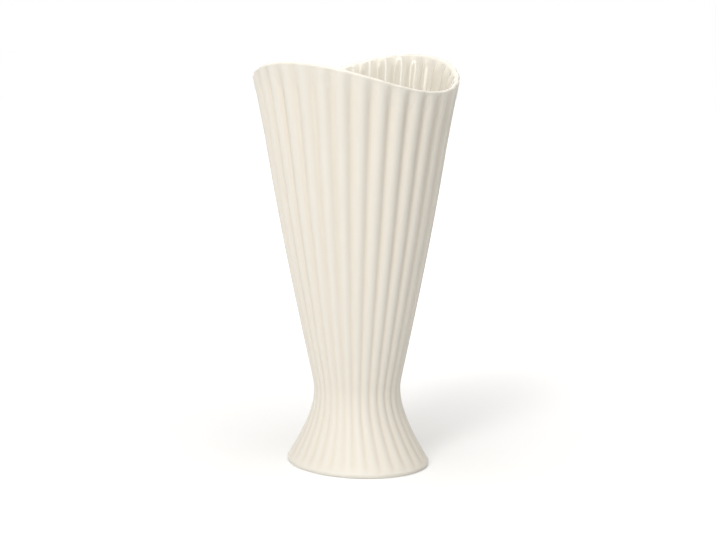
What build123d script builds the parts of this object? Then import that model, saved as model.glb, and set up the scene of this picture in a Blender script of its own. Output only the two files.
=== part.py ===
# Fluted fan vase: one cast ceramic body under a satin outer glaze and a gloss inner glaze
# Millimetres, +Z up, origin under the middle of the foot, long axis of the oval on X
import os
from math import cos, pi, sin, sqrt

from build123d import *

os.makedirs("parts", exist_ok=True)

# Outside sizes
height = 280.0
rim_drop = 20.0
rim_width = 140.5
rim_depth = 132.0
waist_diameter = 60.0
waist_height = 52.5
foot_width = 104.0
foot_depth = 88.5
foot_band = 2.5

# How the outline bends: a small bend turns sharply at the waist, the swell rounds the cone
upper_bend = 1.2
lower_bend = 24.0
swell = 2.6
rim_flare = 1.8
flare_height = 45.0
flare_power = 1.5

# Flutes: deep at the rim, shallow at the foot, running out above the foot band and below the lip.
# Their drift, an angle at the foot, spaces them more evenly along the oval there
flutes = 32
flute_drift = 0.05
rim_flute_depth = 3.0
foot_flute_depth = 0.85
valley_narrowing = 0.15
points_per_flute = 4
foot_runout = 5.0
lip_runout = 6.0
lip_ripple = 0.25
runout_easing = 0.4

# Wall, with both glazes in it
wall = 4.0
glaze = 0.4
floor_height = 8.0

# Underside
foot_ring = 9.0
foot_recess = 2.0
foot_rounding = 1.6

rim_level = height - rim_drop / 2
lip_radius = wall / 2
arch_radius = ((rim_width / 2) ** 2 + rim_drop**2) / (2 * rim_drop)
rim_flute_share = rim_flute_depth / (rim_width / 2)
foot_flute_share = foot_flute_depth / (foot_width / 2)


# Half of the oval's width or depth at a height: a hyperbola each way from the waist
def half_size(z, foot, rim):
    waist = waist_diameter / 2
    h = z - waist_height
    if h > 0:
        rise = rim_level - waist_height
        bulge = 4 * swell / rise**2
        lean = sqrt((rim - waist + upper_bend + 4 * swell) ** 2 - upper_bend**2) / rise
        return waist - upper_bend + sqrt(upper_bend**2 + (lean * h) ** 2) - bulge * h**2
    fall = waist_height - foot_band
    lean = sqrt((foot - waist + lower_bend) ** 2 - lower_bend**2) / fall
    return waist - lower_bend + sqrt(lower_bend**2 + (lean * h) ** 2)


# Height of the lip's crown: an arch across the width, high in front and behind
def rim_height(angle):
    x = rim_width / 2 * cos(angle)
    return height - arch_radius + sqrt(arch_radius**2 - x**2)


# Share of its depth that a flute has at a share of its runout, easing into the full depth
def run_out(share):
    ease = max(runout_easing - abs(share - 1), 0) / runout_easing
    return min(share, 1) - runout_easing * ease**3 / 6


# A point of the wall: flute angle, height, and depth in from the outer face
def wall_point(angle, z, inset):
    under_rim = rim_height(angle) - z
    flare = rim_flare * max(1 - under_rim / flare_height, 0) ** flare_power
    phase = flutes * angle
    ripple = (1 + cos(phase) + valley_narrowing * (cos(2 * phase) - 1)) / 2
    foot_fade = max(run_out((z - foot_band) / foot_runout), 0)
    lip_fade = max(run_out(under_rim / lip_runout), lip_ripple)
    share = foot_flute_share + (rim_flute_share - foot_flute_share) * z / height
    shrink = 1 - share * ripple * foot_fade * lip_fade
    turn = angle + flute_drift * (1 - z / height) * sin(2 * angle)
    x = ((half_size(z, foot_width / 2, rim_width / 2) + flare) * shrink - inset) * cos(turn)
    y = ((half_size(z, foot_depth / 2, rim_depth / 2) + flare) * shrink - inset) * sin(turn)
    return (x, y, z)


# A quarter of one ring of the wall, from the X axis to the Y axis, its height a rule over the angle
def quarter_ring(level, inset):
    count = flutes // 4 * points_per_flute
    angles = [pi / 2 * i / count for i in range(count + 1)]
    points = [wall_point(t, level(t), inset) for t in angles]
    tangents = [(0, points[1][1], 0), (-points[-2][0], 0, 0)]
    with BuildLine() as line:
        add(Edge.make_spline(points, tangents, parameters=range(count + 1), scale=False))
    return line.wire()


# Rings at shares of the way from one height rule to another
def rings_between(low, high, shares, inset):
    return [quarter_ring(lambda t, s=s: low(t) + s * (high(t) - low(t)), inset) for s in shares]


# Rings over half of the rounded lip, from one side of the wall to its crown
def lip_rings(radius, side):
    rings = []
    for turn in (0, pi / 6, pi / 3, pi / 2):
        def level(t, turn=turn):
            return rim_height(t) - lip_radius + radius * sin(turn)
        rings.append(quarter_ring(level, lip_radius - side * radius * cos(turn)))
    return rings


# Rings up one face of the wall in three runs that share their end rings: out of the foot,
# up the wall and over the lip
def face_runs(base, inset, radius, side):
    def foot(t):
        return base

    def foot_end(t):
        return base + foot_runout * (1 + runout_easing)

    def waist(t):
        return waist_height

    def lip_end(t):
        return rim_height(t) - lip_radius - lip_runout

    def lip(t):
        return rim_height(t) - lip_radius

    low = rings_between(foot, foot_end, (0, 0.2, 0.4, 0.6, 0.8, 1), inset)
    middle = low[-1:] + rings_between(foot_end, waist, (0.1, 0.26, 0.46, 0.68, 0.86), inset)
    middle += rings_between(waist, lip_end, (0, 0.03, 0.08, 0.17, 0.31, 0.48, 0.64, 0.78, 0.88, 0.95, 1), inset)
    high = middle[-1:] + rings_between(lip_end, lip, (0.2, 0.4, 0.6, 0.8), inset) + lip_rings(radius, side)
    return low, middle, high


# The four mirrored quarters of a face or a ring
def all_round(quarter):
    half = [quarter, quarter.mirror(Plane.XZ)]
    return half + [piece.mirror(Plane.YZ) for piece in half]


def skin(*runs, ruled=False):
    return [face for rings in runs for face in all_round(Shell.make_loft(rings, ruled).face())]


def flat(ring):
    return Face(Wire([piece.edge() for piece in all_round(ring)]))


# A closed solid from faces that meet edge to edge
def closed(*faces):
    return Solid(Shell(faces))


outer_runs = face_runs(foot_band, 0, lip_radius, 1)
under_outer_runs = face_runs(foot_band, glaze, lip_radius - glaze, 1)
under_inner_runs = face_runs(floor_height, wall - glaze, lip_radius - glaze, -1)
inner_runs = face_runs(floor_height + glaze, wall, lip_radius, -1)

outer_skin = skin(*outer_runs)
under_outer = skin(*under_outer_runs)
under_inner = skin(*under_inner_runs)
inner_skin = skin(*inner_runs)

# Rings at the foot and at the crown, where faces of the coats and the body meet
band_outside, band_inside = outer_runs[0][0], under_outer_runs[0][0]
floor_top, floor_under = inner_runs[0][0], under_inner_runs[0][0]
crown = skin([outer_runs[-1][-1], under_outer_runs[-1][-1]], ruled=True)
band_edge = skin([band_outside, band_inside], ruled=True)


# Cast ceramic body with its foot band and hollow underside
with BuildPart() as vase_body:
    add(closed(*under_outer, *under_inner, flat(band_inside), flat(floor_under)))
    with BuildSketch(Plane.XY) as foot_outline:
        Ellipse(foot_width / 2, foot_depth / 2)
    extrude(amount=foot_band)
    fillet(vase_body.edges().group_by(Axis.Z)[0], foot_rounding)
    with BuildSketch(Plane.XY) as recess_outline:
        Ellipse(foot_width / 2 - foot_ring, foot_depth / 2 - foot_ring)
    extrude(amount=foot_recess, mode=Mode.SUBTRACT)

# Satin coat outside, from the foot band to the crown of the lip
with BuildPart() as outer_glaze:
    add(closed(*outer_skin, *under_outer, *crown, *band_edge))

# Gloss coat inside, from the crown of the lip over the floor
with BuildPart() as inner_glaze:
    add(closed(*inner_skin, *under_inner, *crown, flat(floor_top), flat(floor_under)))

vase_body.part.label = "vase_body"
outer_glaze.part.label = "outer_glaze"
inner_glaze.part.label = "inner_glaze"

export_step(vase_body.part, "parts/vase_body.step")
export_step(outer_glaze.part, "parts/outer_glaze.step")
export_step(inner_glaze.part, "parts/inner_glaze.step")
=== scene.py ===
import math

import bpy
from mathutils import Euler, Matrix, Vector


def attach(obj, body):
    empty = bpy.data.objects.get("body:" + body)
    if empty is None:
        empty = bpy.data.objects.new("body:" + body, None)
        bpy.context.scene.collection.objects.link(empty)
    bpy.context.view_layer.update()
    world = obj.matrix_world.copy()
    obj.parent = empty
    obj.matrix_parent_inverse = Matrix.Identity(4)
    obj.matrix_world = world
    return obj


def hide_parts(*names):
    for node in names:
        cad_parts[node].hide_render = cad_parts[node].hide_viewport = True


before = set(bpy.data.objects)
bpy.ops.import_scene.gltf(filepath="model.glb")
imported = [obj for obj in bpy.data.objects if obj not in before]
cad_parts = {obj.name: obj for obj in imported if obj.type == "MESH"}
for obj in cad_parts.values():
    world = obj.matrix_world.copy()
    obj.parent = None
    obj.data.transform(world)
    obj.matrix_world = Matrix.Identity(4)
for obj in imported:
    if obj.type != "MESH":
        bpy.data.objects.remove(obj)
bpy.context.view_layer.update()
print("frame loaded:", ", ".join(sorted(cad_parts)))

scene = bpy.context.scene
scene.view_settings.view_transform = "Standard"


# sRGB hex to linear RGBA
def hexColour(code):
    channels = [int(code[i:i + 2], 16) / 255 for i in (1, 3, 5)]
    return [c / 12.92 if c <= 0.04045 else ((c + 0.055) / 1.055) ** 2.4 for c in channels] + [1.0]


# one node: its settings, then its inputs by name or order, linked or set
def addNode(tree, kind, inputs=(), **settings):
    node = tree.nodes.new(kind)
    for name, value in settings.items():
        setattr(node, name, value)
    pairs = inputs.items() if isinstance(inputs, dict) else enumerate(inputs)
    for slot, value in pairs:
        if isinstance(value, bpy.types.Node):
            value = value.outputs[0]
        if isinstance(value, bpy.types.NodeSocket):
            tree.links.new(value, node.inputs[slot])
        else:
            node.inputs[slot].default_value = value
    return node


# The vase in metres, as the CAD has it: foot on the floor, long side of the oval on X
vase = {
    "height": 0.280,
    "rimDrop": 0.020,
    "rimWidth": 0.1405,
    "rimDepth": 0.132,
    "waistWidth": 0.060,
    "waistHeight": 0.0525,
    "footWidth": 0.104,
    "footDepth": 0.0885,
    "bandHeight": 0.0025,
    "upperBend": 0.0012,
    "lowerBend": 0.024,
    "swell": 0.0026,
    "flutes": 32,
    "fluteDrift": 0.05,        # an angle at the foot, spacing the flutes more evenly along the oval there
    "rimFluteDepth": 0.0030,
    "footFluteDepth": 0.00085,
    "valleyNarrowing": 0.15,
    "fluteRunout": 0.005,      # flutes run out over this height above the foot band
    "lipRunout": 0.006,        # and over this height below the lip
    "lipRipple": 0.25,         # share of their depth left on the lip
    "runoutEasing": 0.4,
    "flare": 0.0018,           # the rim turns out by this much
    "flareHeight": 0.045,
    "flarePower": 1.5,
    "wall": 0.004,
    "glaze": 0.0004,
    "floorHeight": 0.008,
    "floorRounding": 0.004,    # glaze gathers in the corner of the floor
    "footRing": 0.009,
    "footRecess": 0.002,
    "footRounding": 0.0016,
    "pointsPerFlute": 12,
}
lipRadius = vase["wall"] / 2
waistRadius = vase["waistWidth"] / 2
rimHalf = vase["rimWidth"] / 2
upperRise = vase["height"] - vase["rimDrop"] / 2 - vase["waistHeight"]
lowerFall = vase["waistHeight"] - vase["bandHeight"]
# a parabola that stands out by the swell half way up has four times the swell in its square
swellSquare = 4 * vase["swell"]


# How fast the wall leans out of the waist, towards a half size of the rim or of the foot
def upperLean(rim):
    reach = rim - waistRadius + vase["upperBend"] + swellSquare
    return math.sqrt(reach ** 2 - vase["upperBend"] ** 2) / upperRise


def lowerLean(foot):
    reach = foot - waistRadius + vase["lowerBend"]
    return math.sqrt(reach ** 2 - vase["lowerBend"] ** 2) / lowerFall


# Depth of the flutes as a share of the half size, growing from the foot to the rim
footFluteShare = vase["footFluteDepth"] / (vase["footWidth"] / 2)
fluteShareRise = (vase["rimFluteDepth"] / rimHalf - footFluteShare) / vase["height"]

wallSizes = {
    "pointsRound": vase["flutes"] * vase["pointsPerFlute"],
    "flutes": float(vase["flutes"]),
    "fluteDrift": vase["fluteDrift"],
    "footFluteShare": footFluteShare,
    "fluteShareRise": fluteShareRise,
    "valleyNarrowing": vase["valleyNarrowing"],
    "bandHeight": vase["bandHeight"],
    "fluteRunout": vase["fluteRunout"],
    "lipRunout": vase["lipRunout"],
    "lipRipple": vase["lipRipple"],
    "runoutEasing": vase["runoutEasing"],
    "flare": vase["flare"],
    "flareHeight": vase["flareHeight"],
    "flarePower": vase["flarePower"],
    "waistRadius": waistRadius,
    "waistHeight": vase["waistHeight"],
    "upperBend": vase["upperBend"],
    "upperBulge": swellSquare / upperRise ** 2,
    "upperLeanX": upperLean(rimHalf),
    "upperLeanY": upperLean(vase["rimDepth"] / 2),
    "lowerBend": vase["lowerBend"],
    "lowerLeanX": lowerLean(vase["footWidth"] / 2),
    "lowerLeanY": lowerLean(vase["footDepth"] / 2),
    "archRadius": (rimHalf ** 2 + vase["rimDrop"] ** 2) / (2 * vase["rimDrop"]),
    "rimHalf": rimHalf,
    "height": vase["height"],
}

# The rule of the wall, one Math node a line: result, operation, values
wallRule = [
    # the rim is an arch across the width, and the wall below follows it less and less
    ("rimAcross", "COSINE", "angle"),
    ("rimX", "MULTIPLY", "rimAcross", "rimHalf"),
    ("rimXSquare", "MULTIPLY", "rimX", "rimX"),
    ("archSquare", "MULTIPLY", "archRadius", "archRadius"),
    ("archLeft", "SUBTRACT", "archSquare", "rimXSquare"),
    ("archLevel", "SQRT", "archLeft"),
    ("rimFall", "SUBTRACT", "archRadius", "archLevel"),
    ("fall", "MULTIPLY", "archShare", "rimFall"),
    ("z", "SUBTRACT", "level", "fall"),
    ("rimZ", "SUBTRACT", "height", "rimFall"),
    ("underRim", "SUBTRACT", "rimZ", "z"),
    ("flareShare", "DIVIDE", "underRim", "flareHeight"),
    ("flareLeft", "SUBTRACT", 1.0, "flareShare"),
    ("flareUp", "MAXIMUM", "flareLeft", 0.0),
    ("flareCurve", "POWER", "flareUp", "flarePower"),
    ("flaring", "MULTIPLY", "flareCurve", "flare"),
    # the flutes drift round the oval on their way down
    ("heightShare", "DIVIDE", "z", "height"),
    ("downShare", "SUBTRACT", 1.0, "heightShare"),
    ("twiceAngle", "MULTIPLY", "angle", 2.0),
    ("sway", "SINE", "twiceAngle"),
    ("fullDrift", "MULTIPLY", "sway", "fluteDrift"),
    ("drift", "MULTIPLY", "fullDrift", "downShare"),
    ("turn", "ADD", "angle", "drift"),
    ("across", "COSINE", "turn"),
    ("along", "SINE", "turn"),
    # height from the waist, upright below the top of the foot band
    ("zBand", "MAXIMUM", "z", "bandHeight"),
    ("fromWaist", "SUBTRACT", "zBand", "waistHeight"),
    ("above", "MAXIMUM", "fromWaist", 0.0),
    ("below", "MINIMUM", "fromWaist", 0.0),
    ("aboveSquare", "MULTIPLY", "above", "above"),
    ("bulge", "MULTIPLY", "aboveSquare", "upperBulge"),
    ("upperBendSquare", "MULTIPLY", "upperBend", "upperBend"),
    ("lowerBendSquare", "MULTIPLY", "lowerBend", "lowerBend"),
    ("bends", "ADD", "upperBend", "lowerBend"),
    ("lost", "ADD", "bends", "bulge"),
    ("least", "SUBTRACT", "waistRadius", "lost"),
    ("core", "ADD", "least", "flaring"),
    # flutes: valleys narrower than crests, running out above the foot band
    ("phase", "MULTIPLY", "angle", "flutes"),
    ("firstWave", "COSINE", "phase"),
    ("twicePhase", "MULTIPLY", "phase", 2.0),
    ("secondWave", "COSINE", "twicePhase"),
    ("secondDrop", "SUBTRACT", "secondWave", 1.0),
    ("narrowed", "MULTIPLY", "secondDrop", "valleyNarrowing"),
    ("wave", "ADD", "firstWave", "narrowed"),
    ("wavePlus", "ADD", "wave", 1.0),
    ("ripple", "MULTIPLY", "wavePlus", 0.5),
    ("overBand", "SUBTRACT", "z", "bandHeight"),
    ("runoutShare", "DIVIDE", "overBand", "fluteRunout"),
    ("runout", "SMOOTH_MIN", "runoutShare", 1.0, "runoutEasing"),
    ("fade", "MAXIMUM", "runout", 0.0),
    ("lipShare", "DIVIDE", "underRim", "lipRunout"),
    ("lipRise", "SMOOTH_MIN", "lipShare", 1.0, "runoutEasing"),
    ("lipStay", "MAXIMUM", "lipRise", "lipRipple"),
    ("bothFades", "MULTIPLY", "fade", "lipStay"),
    ("valley", "MULTIPLY", "ripple", "bothFades"),
    ("shareRise", "MULTIPLY", "z", "fluteShareRise"),
    ("fluteShare", "ADD", "shareRise", "footFluteShare"),
    ("cut", "MULTIPLY", "valley", "fluteShare"),
    ("shrink", "SUBTRACT", 1.0, "cut"),
]
# half size of the oval along X and along Y: a hyperbola each way from the waist
for axis, direction in (("X", "across"), ("Y", "along")):
    wallRule += [
        ("upperRun" + axis, "MULTIPLY", "upperLean" + axis, "above"),
        ("upperSquare" + axis, "MULTIPLY", "upperRun" + axis, "upperRun" + axis),
        ("upperSum" + axis, "ADD", "upperSquare" + axis, "upperBendSquare"),
        ("upper" + axis, "SQRT", "upperSum" + axis),
        ("lowerRun" + axis, "MULTIPLY", "lowerLean" + axis, "below"),
        ("lowerSquare" + axis, "MULTIPLY", "lowerRun" + axis, "lowerRun" + axis),
        ("lowerSum" + axis, "ADD", "lowerSquare" + axis, "lowerBendSquare"),
        ("lower" + axis, "SQRT", "lowerSum" + axis),
        ("grown" + axis, "ADD", "upper" + axis, "lower" + axis),
        ("half" + axis, "ADD", "core", "grown" + axis),
        ("fluted" + axis, "MULTIPLY", "half" + axis, "shrink"),
        ("face" + axis, "SUBTRACT", "fluted" + axis, "inset"),
        ("ray" + axis, "MULTIPLY", "face" + axis, direction),
        ("place" + axis, "MULTIPLY", "ray" + axis, "reach"),
    ]


# How the swept meshes are made: points this close are one, edges sharper than this stay crisp,
# and rows crowd towards the waist
meshing = {
    "mergeDistance": 1e-6,
    "cornerAngle": math.radians(40),
    "rowCrowding": 1.3,
}


# Geometry Nodes tree: a section of the wall swept round the fluted oval. A section point's X, Y and Z
# are its inset, level and share of the rim's arch, and its radius is its reach from the axis
def buildWallTree():
    tree = bpy.data.node_groups.new("flutedWall", "GeometryNodeTree")
    tree.interface.new_socket("Geometry", in_out="OUTPUT", socket_type="NodeSocketGeometry")
    tree.interface.new_socket("section", in_out="INPUT", socket_type="NodeSocketObject")
    tree.interface.new_socket("finish", in_out="INPUT", socket_type="NodeSocketMaterial")
    for name, size in wallSizes.items():
        kind = "NodeSocketInt" if isinstance(size, int) else "NodeSocketFloat"
        tree.interface.new_socket(name, in_out="INPUT", socket_type=kind)
    given = addNode(tree, "NodeGroupInput").outputs

    # a ring of points that know their angle
    index = addNode(tree, "GeometryNodeInputIndex")
    share = addNode(tree, "ShaderNodeMath", [index, given["pointsRound"]], operation="DIVIDE")
    angle = addNode(tree, "ShaderNodeMath", [share, 2 * math.pi], operation="MULTIPLY")
    circle = addNode(tree, "GeometryNodeCurvePrimitiveCircle", {"Resolution": given["pointsRound"]})
    ring = addNode(tree, "GeometryNodeCaptureAttribute", {"Geometry": circle})
    ring.capture_items.new("FLOAT", "angle")
    tree.links.new(angle.outputs[0], ring.inputs["angle"])

    # a section whose points know their place in the wall
    drawn = addNode(tree, "GeometryNodeObjectInfo", {"Object": given["section"]})
    section = addNode(tree, "GeometryNodeCaptureAttribute", {"Geometry": drawn.outputs["Geometry"]})
    section.capture_items.new("VECTOR", "place")
    section.capture_items.new("FLOAT", "reach")
    tree.links.new(addNode(tree, "GeometryNodeInputPosition").outputs[0], section.inputs["place"])
    tree.links.new(addNode(tree, "GeometryNodeInputRadius").outputs[0], section.inputs["reach"])
    wall = addNode(tree, "GeometryNodeCurveToMesh", {
        "Curve": ring.outputs["Geometry"], "Profile Curve": section.outputs["Geometry"]})

    # the rule puts every point where it belongs
    place = addNode(tree, "ShaderNodeSeparateXYZ", [section.outputs["place"]]).outputs
    made = {socket.name: socket for socket in given}
    made.update(angle=ring.outputs["angle"], inset=place["X"], level=place["Y"],
                archShare=place["Z"], reach=section.outputs["reach"])
    for result, operation, *values in wallRule:
        inputs = [made[value] if isinstance(value, str) else value for value in values]
        made[result] = addNode(tree, "ShaderNodeMath", inputs, operation=operation)
    spot = addNode(tree, "ShaderNodeCombineXYZ", [made["placeX"], made["placeY"], made["z"]])
    wall = addNode(tree, "GeometryNodeSetPosition", {"Geometry": wall, "Position": spot})

    # the finishes read how deep in a valley it is for their painted valley shade; poles close and corners
    # stay crisp
    wall = addNode(tree, "GeometryNodeStoreNamedAttribute", {
        "Geometry": wall, "Name": "valley", "Value": made["valley"]}, data_type="FLOAT", domain="POINT")
    wall = addNode(tree, "GeometryNodeMergeByDistance", {
        "Geometry": wall, "Distance": meshing["mergeDistance"]})
    # the sweep faces inwards, so its faces are turned
    wall = addNode(tree, "GeometryNodeFlipFaces", {"Mesh": wall})
    edgeAngle = addNode(tree, "GeometryNodeInputMeshEdgeAngle")
    corner = addNode(tree, "ShaderNodeMath", [edgeAngle, meshing["cornerAngle"]], operation="GREATER_THAN")
    wall = addNode(tree, "GeometryNodeSetShadeSmooth", {
        "Geometry": wall, "Selection": corner, "Shade Smooth": False}, domain="EDGE")
    wall = addNode(tree, "GeometryNodeRealizeInstances", {"Geometry": wall})
    wall = addNode(tree, "GeometryNodeSetMaterial", {"Geometry": wall, "Material": given["finish"]})
    addNode(tree, "NodeGroupOutput", [wall])
    return tree


wallTree = buildWallTree()
print("wall tree built:", len(wallTree.nodes), "nodes")


# Section points up one face of the wall: (inset, level, arch share, reach)
def faceRows(base, inset, lowRows, highRows):
    waist = vase["waistHeight"]
    rise = vase["height"] - lipRadius - waist
    low = [(inset, base + (waist - base) * i / lowRows, 0.0, 1.0) for i in range(lowRows)]
    shares = [(i / highRows) ** meshing["rowCrowding"] for i in range(highRows)]
    return low + [(inset, waist + rise * share, share, 1.0) for share in shares]


# Section points over half of the rounded lip, from one side of the wall to its crown
def lipRows(radius, side, rows):
    points = []
    for i in range(rows + 1):
        turn = math.pi / 2 * i / rows
        level = vase["height"] - lipRadius + radius * math.sin(turn)
        points.append((lipRadius - side * radius * math.cos(turn), level, 1.0, 1.0))
    return points


# Sweeps a section round the vase and leaves a plain mesh
def sweepWall(name, points, looped, finish):
    curve = bpy.data.curves.new(name + "Section", "CURVE")
    curve.dimensions = "3D"
    spline = curve.splines.new("POLY")
    spline.points.add(len(points) - 1)
    for spot, (inset, level, arch, reach) in zip(spline.points, points):
        spot.co = (inset, level, arch, 1.0)
        spot.radius = reach
    spline.use_cyclic_u = looped
    section = bpy.data.objects.new(name + "Section", curve)
    scene.collection.objects.link(section)

    piece = bpy.data.objects.new(name, bpy.data.meshes.new(name))
    scene.collection.objects.link(piece)
    sweeper = piece.modifiers.new("flutedWall", "NODES")
    sweeper.node_group = wallTree
    given = dict(wallSizes, section=section, finish=finish)
    for socket in wallTree.interface.items_tree:
        if socket.in_out == "INPUT":
            sweeper[socket.identifier] = given[socket.name]
    graph = bpy.context.evaluated_depsgraph_get()
    mesh = bpy.data.meshes.new_from_object(piece.evaluated_get(graph), depsgraph=graph)
    piece.modifiers.clear()
    piece.data = mesh
    bpy.data.objects.remove(section)
    print(name + ":", len(mesh.vertices), "points,", len(mesh.polygons), "faces")
    return piece


# What the three fired finishes share: how broken up their clouding and relief are,
# and the noise values between which clouding and gloss go from least to most
firing = {
    "cloudDetail": 4.0,
    "cloudRoughness": 0.55,
    "cloudSpread": (0.35, 0.65),
    "glossSpread": (0.3, 0.7),
    "peelDetail": 2.0,
}


# A fired surface: painted shade that darkens the valleys against the crests, slow clouding, uneven gloss
# and a fine relief
def firedFinish(name, look):
    material = bpy.data.materials.new(name)
    material.use_nodes = True
    tree = material.node_tree
    tree.nodes.clear()
    spot = addNode(tree, "ShaderNodeTexCoord").outputs["Object"]
    # how deep in a flute the point is: the mask of the painted valley shade
    valleyShadeMask = addNode(tree, "ShaderNodeAttribute", attribute_name="valley").outputs["Fac"]
    clouds = addNode(tree, "ShaderNodeTexNoise", {
        "Vector": spot, "Scale": 1 / look["cloudSize"],
        "Detail": firing["cloudDetail"], "Roughness": firing["cloudRoughness"]})
    least, most = firing["cloudSpread"]
    cloudy = addNode(tree, "ShaderNodeMapRange", {
        "Value": clouds.outputs["Fac"], "From Min": least, "From Max": most, "To Max": look["clouding"]})
    # painted shade: the colour goes from the crest colour to the darker valley colour with the depth in a
    # flute
    paintedValleyShade = addNode(tree, "ShaderNodeMixRGB", [
        valleyShadeMask, hexColour(look["crest"]), hexColour(look["valley"])])
    colour = addNode(tree, "ShaderNodeMixRGB", [cloudy, paintedValleyShade, hexColour(look["cloud"])])
    least, most = firing["glossSpread"]
    glossy, matt = look["roughness"]
    rough = addNode(tree, "ShaderNodeMapRange", {
        "Value": clouds.outputs["Fac"], "From Min": least, "From Max": most,
        "To Min": glossy, "To Max": matt})
    peel = addNode(tree, "ShaderNodeTexNoise", {
        "Vector": spot, "Scale": 1 / look["peelSize"], "Detail": firing["peelDetail"]})
    relief = addNode(tree, "ShaderNodeBump", {
        "Height": peel.outputs["Fac"], "Distance": look["peelDepth"], "Strength": 1.0})
    surface = addNode(tree, "ShaderNodeBsdfPrincipled", {
        "Base Color": colour, "Roughness": rough, "Normal": relief, "IOR": look["ior"]})
    addNode(tree, "ShaderNodeOutputMaterial", [surface])
    return material


# Outer coat: satin stoneware glaze, sprayed and fired. A wide soft sheen with a faint orange peel,
# and painted shade that makes the valleys darker and warmer than the crests
satinCoat = {
    "crest": "#ECE8DF",
    # painted shade: this darker, warmer valley colour stands for the shade in the flutes
    "valley": "#E6DED0",
    "cloud": "#E9E4DA",
    "clouding": 0.5,
    "cloudSize": 0.035,
    "roughness": (0.42, 0.56),
    "ior": 1.5,
    "peelSize": 0.0016,
    "peelDepth": 0.00002,
    "rows": (26, 90, 8),
    "hiddenRows": (14, 16, 4),
}
lowRows, highRows, lipCount = satinCoat["rows"]
hiddenLow, hiddenHigh, hiddenLip = satinCoat["hiddenRows"]
outside = faceRows(vase["bandHeight"], 0.0, lowRows, highRows) + lipRows(lipRadius, 1, lipCount)
under = (faceRows(vase["bandHeight"], vase["glaze"], hiddenLow, hiddenHigh)
         + lipRows(lipRadius - vase["glaze"], 1, hiddenLip))
satinGlaze = firedFinish("satinStonewareGlaze", satinCoat)
outerCoat = sweepWall("outerCoat", outside + under[::-1], True, satinGlaze)

# Inner coat: gloss liner glaze, poured round and fired. Hard bright highlights that waver where it ran
glossCoat = {
    "crest": "#EBE8DF",
    # painted shade: this darker valley colour stands for the shade in the flutes
    "valley": "#E7E0D3",
    "cloud": "#E9E5DB",
    "clouding": 0.5,
    "cloudSize": 0.030,
    "roughness": (0.06, 0.14),
    "ior": 1.52,
    "peelSize": 0.006,
    "peelDepth": 0.00003,
    "rows": (22, 90, 8),
    "hiddenRows": (14, 16, 4),
    "cornerRows": 6,
}
lowRows, highRows, lipCount = glossCoat["rows"]
floorTop = vase["floorHeight"] + vase["glaze"]
corner = vase["floorRounding"]
inside = lipRows(lipRadius, -1, lipCount)[::-1]
inside += faceRows(floorTop + corner, vase["wall"], lowRows, highRows)[::-1]
for i in range(1, glossCoat["cornerRows"] + 1):
    turn = math.pi / 2 * i / glossCoat["cornerRows"]
    inside.append((vase["wall"] + corner * (1 - math.cos(turn)),
                   floorTop + corner * (1 - math.sin(turn)), 0.0, 1.0))
# the floor inside: half way to the axis, then the axis itself
inside.append((vase["wall"] + corner, floorTop, 0.0, 0.5))
inside.append((vase["wall"] + corner, floorTop, 0.0, 0.0))
liner = [(vase["wall"] - vase["glaze"], vase["floorHeight"], 0.0, 0.0)]
liner += faceRows(vase["floorHeight"], vase["wall"] - vase["glaze"], *glossCoat["hiddenRows"][:2])
liner += lipRows(lipRadius - vase["glaze"], -1, glossCoat["hiddenRows"][2])
glossGlaze = firedFinish("glossLinerGlaze", glossCoat)
innerCoat = sweepWall("innerCoat", inside + liner, True, glossGlaze)

# Body: fired stoneware, bare on the foot band and underneath. Dry, even and slightly sandy
castBody = {
    "crest": "#EAE6DD",
    # painted shade: this darker valley colour stands for the shade in the flutes
    "valley": "#E6DFD2",
    "cloud": "#E8E3D9",
    "clouding": 0.6,
    "cloudSize": 0.012,
    "roughness": (0.62, 0.78),
    "ior": 1.5,
    "peelSize": 0.0007,
    "peelDepth": 0.00003,
    "roundingRows": 6,
}
ringInset = vase["footRing"]
# the recess underneath from the axis out, then the foot ring
bareFoot = [
    (ringInset, vase["footRecess"], 0.0, 0.0),
    (ringInset, vase["footRecess"], 0.0, 0.5),
    (ringInset, vase["footRecess"], 0.0, 1.0),
    (ringInset, 0.0, 0.0, 1.0),
]
rounding = vase["footRounding"]
for i in range(castBody["roundingRows"] + 1):
    turn = math.pi / 2 * i / castBody["roundingRows"]
    bareFoot.append((rounding * (1 - math.sin(turn)), rounding * (1 - math.cos(turn)), 0.0, 1.0))
bareFoot.append((0.0, vase["bandHeight"], 0.0, 1.0))
core = bareFoot + under + liner[1:][::-1] + liner[:1]
bareStoneware = firedFinish("bareStoneware", castBody)
bodyCore = sweepWall("bodyCore", core, False, bareStoneware)

for piece, node, slot in ((outerCoat, "outer_glaze", "satin_glaze"),
                          (innerCoat, "inner_glaze", "gloss_glaze"),
                          (bodyCore, "vase_body", "stoneware")):
    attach(piece, "root")
    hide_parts(node)
print("pieces in place")

# Camera as the photograph has it: a long lens a little above the rim, 38 degrees round from the flat side
camera = {
    "azimuth": 37.9,
    "distance": 1.206,
    "height": 0.3353,
    "pitch": 9.43,
    "roll": 0.17,
    "lens": 89.47,
    "shiftX": 0.0016,
}
azimuth = math.radians(camera["azimuth"])
lens = bpy.data.cameras.new("camera")
lens.lens = camera["lens"]
lens.shift_x = camera["shiftX"]
viewer = bpy.data.objects.new("camera", lens)
viewer.location = (camera["distance"] * math.sin(azimuth), -camera["distance"] * math.cos(azimuth),
                   camera["height"])
tilt = Euler((math.radians(90 - camera["pitch"]), 0.0, azimuth)).to_matrix()
viewer.rotation_euler = (tilt @ Matrix.Rotation(-math.radians(camera["roll"]), 3, "Z")).to_euler()
scene.collection.objects.link(viewer)
scene.camera = viewer

# Key light: a tall softbox in front and to the left
softbox = {
    "azimuth": 11.0,
    "elevation": 26.0,
    "distance": 2.4,
    "width": 0.6,
    "tall": 2.4,
    "power": 27.0,
    "colour": "#FFFEFC",
}
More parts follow.
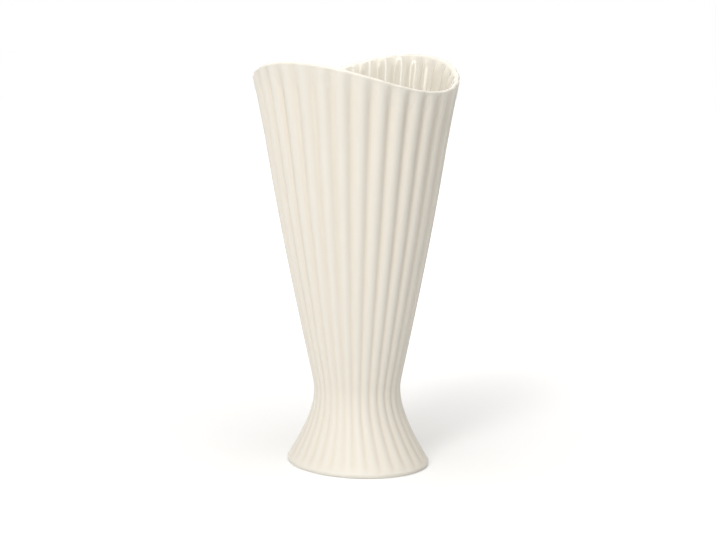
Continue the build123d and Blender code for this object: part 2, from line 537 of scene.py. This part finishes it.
# Top light: a broad softbox overhead
overhead = {
    "azimuth": 38.0,
    "elevation": 84.0,
    "distance": 1.4,
    "width": 1.3,
    "tall": 1.3,
    "power": 15.5,
    "colour": "#FFFEFC",
}
aim = Vector((0.0, 0.0, vase["height"] / 2))
for name, lit in (("softbox", softbox), ("overhead", overhead)):
    turn = math.radians(lit["azimuth"])
    lift = math.radians(lit["elevation"])
    towards = Vector((math.sin(turn) * math.cos(lift), -math.cos(turn) * math.cos(lift), math.sin(lift)))
    lamp = bpy.data.lights.new(name, "AREA")
    lamp.shape = "RECTANGLE"
    lamp.size = lit["width"]
    lamp.size_y = lit["tall"]
    lamp.energy = lit["power"]
    lamp.color = hexColour(lit["colour"])[:3]
    stand = bpy.data.objects.new(name, lamp)
    stand.location = aim + towards * lit["distance"]
    stand.rotation_euler = towards.to_track_quat("Z", "Y").to_euler()
    scene.collection.objects.link(stand)

# Rays that see plain white: the camera's own, mirrored and refracted ones
plainWhite = hexColour("#FFFFFF")


def whiteRays(tree):
    rays = addNode(tree, "ShaderNodeLightPath").outputs
    mirrored = addNode(tree, "ShaderNodeMath", [
        rays["Is Glossy Ray"], rays["Is Transmission Ray"]], operation="MAXIMUM")
    return addNode(tree, "ShaderNodeMath", [rays["Is Camera Ray"], mirrored], operation="MAXIMUM")


# Room: an even pale dome, white to the camera and in reflections
room = {
    "dome": "#FAF5EC",
    "strength": 0.31,
}
world = bpy.data.worlds.new("room")
scene.world = world
world.use_nodes = True
tree = world.node_tree
tree.nodes.clear()
dome = addNode(tree, "ShaderNodeBackground", {
    "Color": hexColour(room["dome"]), "Strength": room["strength"]})
white = addNode(tree, "ShaderNodeBackground", {"Color": plainWhite, "Strength": 1.0})
mixed = addNode(tree, "ShaderNodeMixShader", [whiteRays(tree), dome, white])
addNode(tree, "ShaderNodeOutputWorld", [mixed])

# Floor: matt white board that lifts to plain white for the camera and keeps the shadow
board = {
    "half": 3.0,
    "colour": "#F3F4F6",
    "lift": 0.17,
    "fadeFrom": 0.15,
    "fadeTo": 0.8,
}
half = board["half"]
corners = [(-half, -half, 0), (half, -half, 0), (half, half, 0), (-half, half, 0)]
boardMesh = bpy.data.meshes.new("floor")
boardMesh.from_pydata(corners, [], [(0, 1, 2, 3)])
floor = bpy.data.objects.new("floor", boardMesh)
scene.collection.objects.link(floor)
paper = bpy.data.materials.new("mattWhiteBoard")
paper.use_nodes = True
tree = paper.node_tree
tree.nodes.clear()
spot = addNode(tree, "ShaderNodeTexCoord").outputs["Object"]
away = addNode(tree, "ShaderNodeVectorMath", [spot], operation="LENGTH").outputs["Value"]
lifted = addNode(tree, "ShaderNodeMapRange", {
    "Value": away, "From Min": board["fadeFrom"], "From Max": board["fadeTo"],
    "To Min": board["lift"], "To Max": 1.0}, interpolation_type="SMOOTHSTEP")
share = addNode(tree, "ShaderNodeMath", [whiteRays(tree), lifted], operation="MULTIPLY")
matt = addNode(tree, "ShaderNodeBsdfDiffuse", {"Color": hexColour(board["colour"])})
glow = addNode(tree, "ShaderNodeEmission", {"Color": plainWhite, "Strength": share})
mixed = addNode(tree, "ShaderNodeAddShader", [matt, glow])
addNode(tree, "ShaderNodeOutputMaterial", [mixed])
boardMesh.materials.append(paper)
print("camera, light and floor set")
